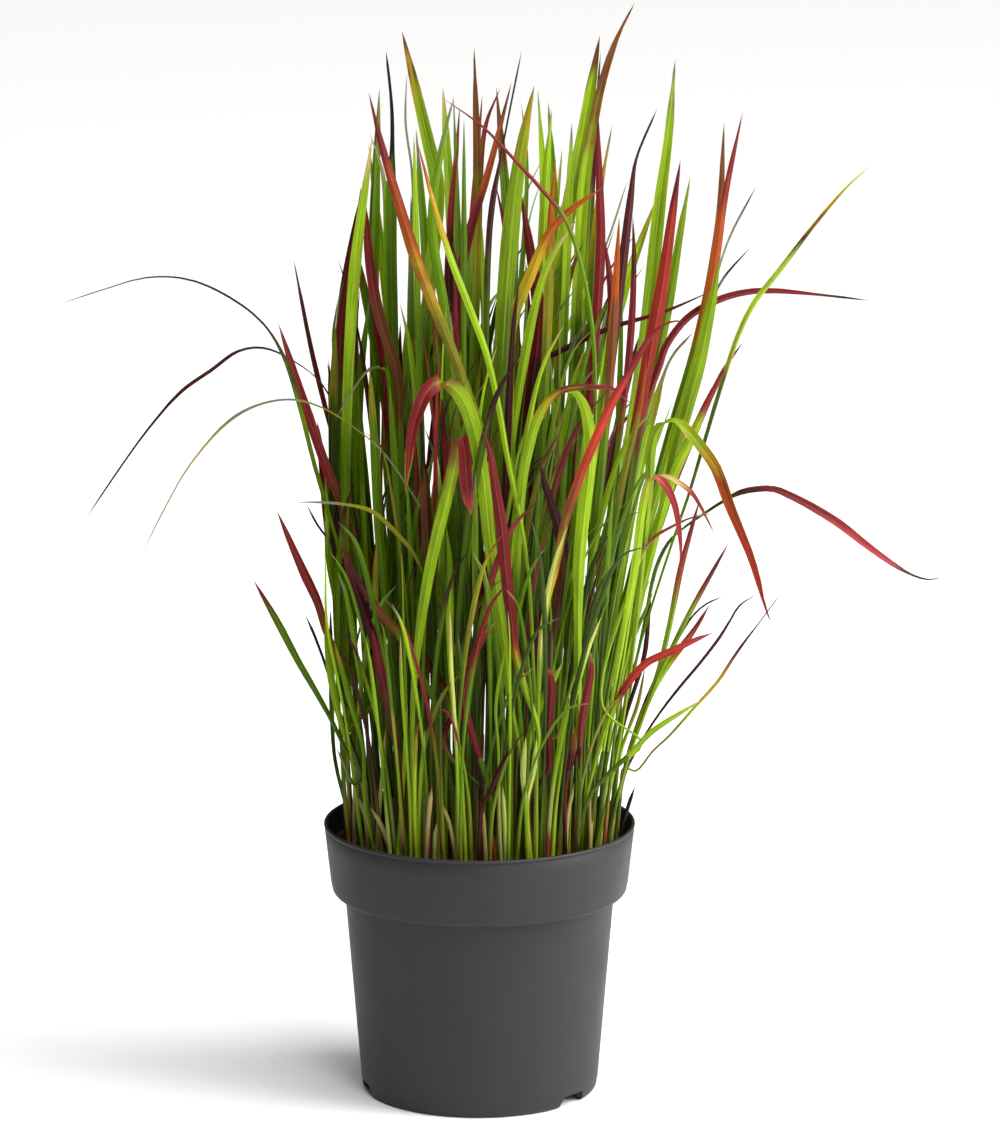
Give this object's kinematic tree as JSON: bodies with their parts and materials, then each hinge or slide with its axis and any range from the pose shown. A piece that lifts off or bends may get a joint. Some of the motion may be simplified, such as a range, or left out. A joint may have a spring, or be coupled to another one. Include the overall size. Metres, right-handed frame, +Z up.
{
  "type": "potted ornamental grass",
  "caption": "Clump of long narrow arching grass leaves, green with crimson tips, growing in a round tapered nursery pot with a deep collar and a notched foot.",
  "frame": {"origin": "centre of the pot's underside, in the plane it stands on", "axes": "+Z up along the pot's axis, -Y towards the front that the picture shows, +X to its right"},
  "size_m": [0.5319, 0.244, 0.6639],
  "materials": {
    "grey_plastic": "satin",
    "potting_soil": "matt",
    "leaf_green": "satin",
    "leaf_crimson": "satin"
  },
  "bodies": {
    "root": {"pot": "grey_plastic", "soil": "potting_soil", "shoot_01": "leaf_green", "shoot_02": "leaf_green", "shoot_03": "leaf_green", "shoot_04": "leaf_green", "shoot_05": "leaf_green", "shoot_06": "leaf_green", "shoot_07": "leaf_green", "shoot_08": "leaf_green", "shoot_09": "leaf_green", "shoot_10": "leaf_green", "shoot_11": "leaf_green", "shoot_12": "leaf_green", "shoot_13": "leaf_green", "shoot_14": "leaf_green", "shoot_15": "leaf_green", "shoot_16": "leaf_green", "shoot_17": "leaf_green", "shoot_18": "leaf_green", "shoot_19": "leaf_green", "shoot_20": "leaf_green", "shoot_21": "leaf_green", "shoot_22": "leaf_green", "shoot_23": "leaf_green", "shoot_24": "leaf_green", "shoot_25": "leaf_crimson", "shoot_26": "leaf_crimson", "shoot_27": "leaf_green", "shoot_28": "leaf_green", "shoot_29": "leaf_green", "shoot_30": "leaf_green", "shoot_31": "leaf_green", "shoot_32": "leaf_green", "shoot_33": "leaf_green", "shoot_34": "leaf_green", "shoot_arch_left_high": "leaf_green", "shoot_arch_left_middle": "leaf_green", "shoot_arch_left_low": "leaf_green", "shoot_arch_right_far": "leaf_green", "shoot_arch_right_red": "leaf_crimson", "shoot_arch_right_crimson": "leaf_crimson", "shoot_right_long": "leaf_green", "shoot_front_hook": "leaf_green", "shoot_front_folded": "leaf_green", "shoot_front_arch": "leaf_green", "shoot_back_01": "leaf_green", "shoot_back_02": "leaf_green", "shoot_back_03": "leaf_green", "shoot_back_04": "leaf_green", "shoot_back_05": "leaf_green", "shoot_back_06": "leaf_green", "shoot_back_07": "leaf_green", "shoot_back_08": "leaf_green", "shoot_back_09": "leaf_green", "shoot_back_10": "leaf_green", "shoot_back_11": "leaf_green", "shoot_back_12": "leaf_green", "shoot_back_13": "leaf_green", "shoot_back_14": "leaf_green"}
  },
  "joints": []
}
